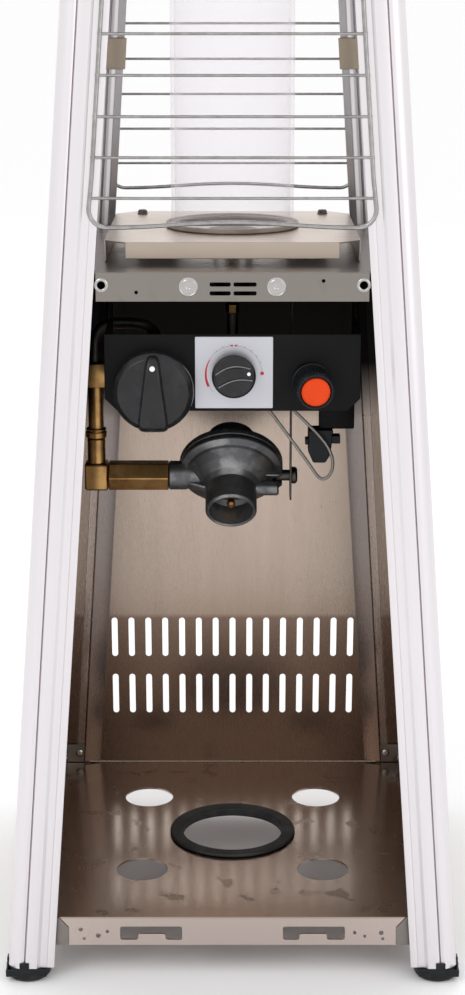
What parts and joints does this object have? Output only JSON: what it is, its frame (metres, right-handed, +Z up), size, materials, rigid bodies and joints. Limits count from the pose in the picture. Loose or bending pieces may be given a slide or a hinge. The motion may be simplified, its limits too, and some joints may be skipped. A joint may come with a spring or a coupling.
{
  "type": "patio heater",
  "caption": "Small pyramid patio heater: four leaning posts, a glass flame tube behind wire guards, a control box, a swinging gas regulator, a vented base and a square hood.",
  "frame": {"origin": "on the floor, under the middle of the heater", "axes": "+Z up, the front with the controls faces -Y, +X to the right seen from the front"},
  "size_m": [0.315, 0.315, 1.003],
  "materials": {
    "aluminium": "bright satin anodised extrusion",
    "stainless": "half mirror warm stainless sheet",
    "brushed_sheet": "brushed steel sheet with small marks",
    "black_paint": "matte black paint on steel",
    "black_plastic": "black moulded plastic",
    "knob_plastic": "glossy black moulded plastic",
    "dial_silver": null,
    "orange_plastic": "orange moulded plastic",
    "zinc_casting": "dark grey zinc casting",
    "brass": "machined brass, slightly tarnished",
    "rubber": "black rubber",
    "wire_chrome": "bright plated wire",
    "glass": "clear heat resistant glass",
    "ceramic": "off-white ceramic",
    "dark_steel": "dark heat-stained steel"
  },
  "bodies": {
    "frame": {"base_bracket_front_left": "brushed_sheet", "base_bracket_front_right": "brushed_sheet", "base_bracket_rear_left": "brushed_sheet", "base_bracket_rear_right": "brushed_sheet", "base_hole_edging": "rubber", "base_plate": "stainless", "burner_cup": "dark_steel", "burner_deck": "brushed_sheet", "burner_feed_tube": "brass", "control_box": "black_paint", "control_valve_body": "zinc_casting", "dial_plate": "dial_silver", "flame_screen": "stainless", "foot_cap_front_left": "black_plastic", "foot_cap_front_right": "black_plastic", "foot_cap_rear_left": "black_plastic", "foot_cap_rear_right": "black_plastic", "front_grille": "wire_chrome", "gas_feed_tube": "brass", "gas_jet": "brass", "gas_valve_body": "zinc_casting", "glass_tube": "glass", "hanger_strap": "dark_steel", "hood_stud": "dark_steel", "igniter_body": "black_plastic", "inlet_bar": "brass", "inlet_elbow": "brass", "left_grille": "wire_chrome", "left_panel": "stainless", "mid_plate": "brushed_sheet", "mixing_tube": "stainless", "pilot_burner": "brass", "pivot_stud": "dark_steel", "post_front_left": "aluminium", "post_front_right": "aluminium", "post_rear_left": "aluminium", "post_rear_right": "aluminium", "rear_grille": "wire_chrome", "rear_panel": "stainless", "reflector_hood": "stainless", "right_grille": "wire_chrome", "right_panel": "stainless", "riser_block": "brass", "riser_nut": "brass", "riser_tube": "brass", "spark_electrode": "ceramic", "thermocouple": "dark_steel", "tilt_switch": "black_plastic", "tilt_switch_bracket": "black_paint", "tilt_switch_lead": "dark_steel", "top_plate": "stainless", "tube_seat_ring": "ceramic"},
    "regulator": {"regulator_lower_shell": "zinc_casting", "regulator_bonnet": "zinc_casting", "regulator_valve_pin": "brass"},
    "gas_knob": {"gas_knob": "knob_plastic"},
    "control_stem": {"control_valve_stem": "brass"},
    "control_knob": {"control_knob": "knob_plastic"},
    "igniter_cap": {"igniter_cap": "black_plastic"},
    "igniter_button": {"igniter_button": "orange_plastic"}
  },
  "joints": [
    {"name": "regulator_swing", "type": "hinge", "parent": "frame", "child": "regulator", "pos_m": [-0.001, 0, 0.322], "axis": [1, 0, 0], "range_deg": [-20, 53.5]},
    {"name": "gas_knob_turn", "type": "hinge", "parent": "frame", "child": "gas_knob", "pos_m": [-0.05225, -0.105, 0.4084], "axis": [0, -1, 0], "range_deg": [0, 90]},
    {"name": "control_valve_push", "type": "slide", "parent": "frame", "child": "control_stem", "axis": [0, 1, 0], "range_m": [0, 0.003], "stiffness_N_per_m": 500, "springref_m": -0.002},
    {"name": "control_knob_turn", "type": "hinge", "parent": "control_stem", "child": "control_knob", "pos_m": [0.0009, -0.105, 0.4185], "axis": [0, -1, 0], "range_deg": [0, 210]},
    {"name": "igniter_cap_unscrew", "type": "hinge", "parent": "frame", "child": "igniter_cap", "pos_m": [0.0544, -0.13, 0.4106], "axis": [0.1037, -0.9871, -0.1219], "range_deg": [0, 720]},
    {"name": "igniter_button_push", "type": "slide", "parent": "frame", "child": "igniter_button", "axis": [-0.1037, 0.9871, 0.1219], "range_m": [0, 0.004], "stiffness_N_per_m": 800, "springref_m": -0.002}
  ]
}
